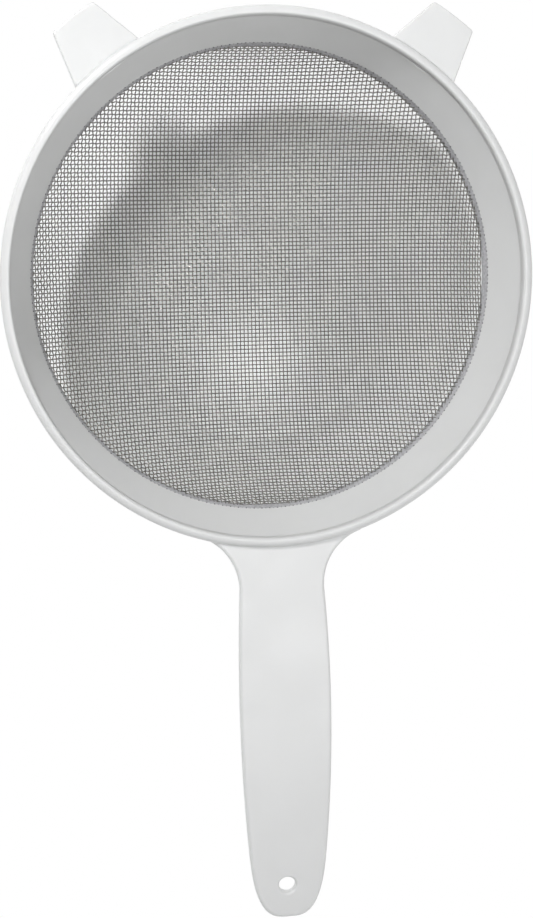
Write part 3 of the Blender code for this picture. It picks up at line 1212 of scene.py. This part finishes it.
def floor_material(settings):
    """Pale floor, matt under the strainer and evenly bright further out, with painted light glowing
    from the floor under the bowl, strongest where the bowl touches it.
    """
    material, tree, shader, coordinates = new_material("pale_floor")
    radius, _ = axis_distance(tree, coordinates)
    glow = add(tree, "ShaderNodeEmission", {"Strength": settings.floor_glow})
    outside = smooth_range(tree, radius, FLOOR_MATT_RADIUS, FLOOR_GLOW_RADIUS)
    mix = add(tree, "ShaderNodeMixShader", {0: outside, 1: shader.outputs[0], 2: glow})
    fill(tree, tree.nodes["Material Output"], {"Surface": mix})
    # painted light: the floor's own glow, faint under the whole bowl and strongest round the point
    # where the bowl touches it
    away = add_node(tree, "ShaderNodeVectorMath",
        {0: coordinates, 1: tuple(FLOOR_TOUCH)}, operation="DISTANCE")["Value"]
    near = smooth_range(
        tree, away, PAINTED_TOUCH_LIGHT_REACH, 0.0, settings.painted_light_under_bowl, settings.painted_light_at_touch
    )
    fill(tree, shader, {
        "Base Color": (*settings.floor_colour, 1.0),
        "Roughness": 0.85,
        "Specular IOR Level": 0.15,
        "Emission Color": WHITE,
        "Emission Strength": near,
    })
    return material


class STRAINER_OT_stage(bpy.types.Operator):
    """Add the pale floor, the soft light and the camera"""

    bl_idname = "strainer.stage"
    bl_label = "Stage"

    def execute(self, context):
        settings = context.scene.strainer_stage
        self.add_floor(settings)
        self.add_light(context.scene, settings)
        self.add_camera(context.scene, settings)
        context.scene.view_settings.view_transform = "Standard"
        return {"FINISHED"}

    def add_floor(self, settings):
        """A large plane that touches the bowl where the strainer stands."""
        bm = bmesh.new()
        bmesh.ops.create_grid(bm, x_segments=1, y_segments=1, size=FLOOR_HALF_SIZE)
        tilt = Matrix.Rotation(-FLOOR_TILT, 4, "X")
        bmesh.ops.transform(bm, matrix=Matrix.Translation(FLOOR_TOUCH) @ tilt, verts=bm.verts)
        floor = from_bmesh("floor", bm)
        floor.data.materials.append(floor_material(settings))

    def add_light(self, scene, settings):
        """A soft main light from behind on the left, a broad one overhead, and an uneven sky."""
        for name, direction, distance, size, power in (
            ("key_light", KEY_DIRECTION, KEY_DISTANCE, settings.key_size, settings.key_power),
            ("top_light", TOP_DIRECTION, TOP_DISTANCE, TOP_SIZE, settings.top_power),
        ):
            light = bpy.data.lights.new(name, "AREA")
            light.shape = "DISK"
            light.size = size
            light.energy = power
            lamp = bpy.data.objects.new(name, light)
            lamp.location = direction.normalized() * distance
            lamp.rotation_euler = direction.to_track_quat("Z", "Y").to_euler()
            scene.collection.objects.link(lamp)
        world = bpy.data.worlds.new("studio")
        world.use_nodes = True
        tree = world.node_tree
        coordinates = tree.nodes.new("ShaderNodeTexCoord").outputs["Generated"]
        x, y, height = add_node(tree, "ShaderNodeSeparateXYZ", {0: coordinates})
        even = smooth_range(tree, height, *SKY_RANGE, settings.sky_low, settings.sky_high)
        near_side = calc(tree, "MULTIPLY_ADD", x, SKY_SIDE_X, calc(tree, "MULTIPLY", y, SKY_SIDE_Y))
        both_corners = calc(tree, "MULTIPLY", calc(tree, "MULTIPLY", x, y), -settings.sky_corners)
        uneven = calc(tree, "MULTIPLY_ADD", near_side, settings.sky_side, both_corners)
        bright = calc(tree, "MAXIMUM", calc(tree, "ADD", even, uneven), 0.0)
        fill(tree, tree.nodes["Background"], {"Color": WHITE, "Strength": bright})
        scene.world = world

    def add_camera(self, scene, settings):
        """Camera above the strainer, a little to its left."""
        camera = bpy.data.cameras.new("camera")
        camera.sensor_fit = "VERTICAL"
        camera.sensor_height = 36.0
        camera.lens = settings.lens
        camera.clip_start = 0.05
        camera.clip_end = 20.0
        obj = bpy.data.objects.new("camera", camera)
        forward = (CAMERA_AIM - CAMERA_AT).normalized()
        right = forward.cross(Vector((0.0, 1.0, 0.0))).normalized()
        up = right.cross(forward)
        turn = Matrix.Rotation(CAMERA_ROLL, 3, -forward)
        axes = Matrix((turn @ right, turn @ up, -forward)).transposed()
        obj.matrix_world = Matrix.Translation(CAMERA_AT) @ axes.to_4x4()
        scene.collection.objects.link(obj)
        scene.camera = obj


class STRAINER_PT_panel(bpy.types.Panel):
    """Lists the strainer's pieces and their settings."""

    bl_label = "Strainer"
    bl_idname = "STRAINER_PT_panel"
    bl_space_type = "VIEW_3D"
    bl_region_type = "UI"
    bl_category = "Strainer"

    def draw(self, context):
        for group_name, operators in (
            ("strainer_moulding", ("strainer.moulding",)),
            ("strainer_cloth", ("strainer.cloth", "strainer.wire_ends")),
            ("strainer_stage", ("strainer.stage",)),
        ):
            box = self.layout.box()
            group = getattr(context.scene, group_name)
            for name in group.__annotations__:
                box.prop(group, name)
            for operator in operators:
                box.operator(operator)


CLASSES = (
    StrainerMoulding,
    StrainerCloth,
    StrainerStage,
    STRAINER_OT_moulding,
    STRAINER_OT_cloth,
    STRAINER_OT_wire_ends,
    STRAINER_OT_stage,
    STRAINER_PT_panel,
)


def register():
    """Register the classes and attach the settings to the scene."""
    for cls in CLASSES:
        bpy.utils.register_class(cls)
    bpy.types.Scene.strainer_moulding = PointerProperty(type=StrainerMoulding)
    bpy.types.Scene.strainer_cloth = PointerProperty(type=StrainerCloth)
    bpy.types.Scene.strainer_stage = PointerProperty(type=StrainerStage)


def unregister():
    """Detach the settings and remove the classes."""
    del bpy.types.Scene.strainer_moulding
    del bpy.types.Scene.strainer_cloth
    del bpy.types.Scene.strainer_stage
    for cls in reversed(CLASSES):
        bpy.utils.unregister_class(cls)


def plain(box):
    """A box as two lists of numbers."""
    return [[float(value) for value in corner] for corner in box]


def main():
    """Build the strainer and its stage."""
    register()
    bpy.ops.strainer.moulding()
    bpy.ops.strainer.cloth()
    bpy.ops.strainer.wire_ends()
    bpy.ops.strainer.stage()


if __name__ == "__main__":
    main()
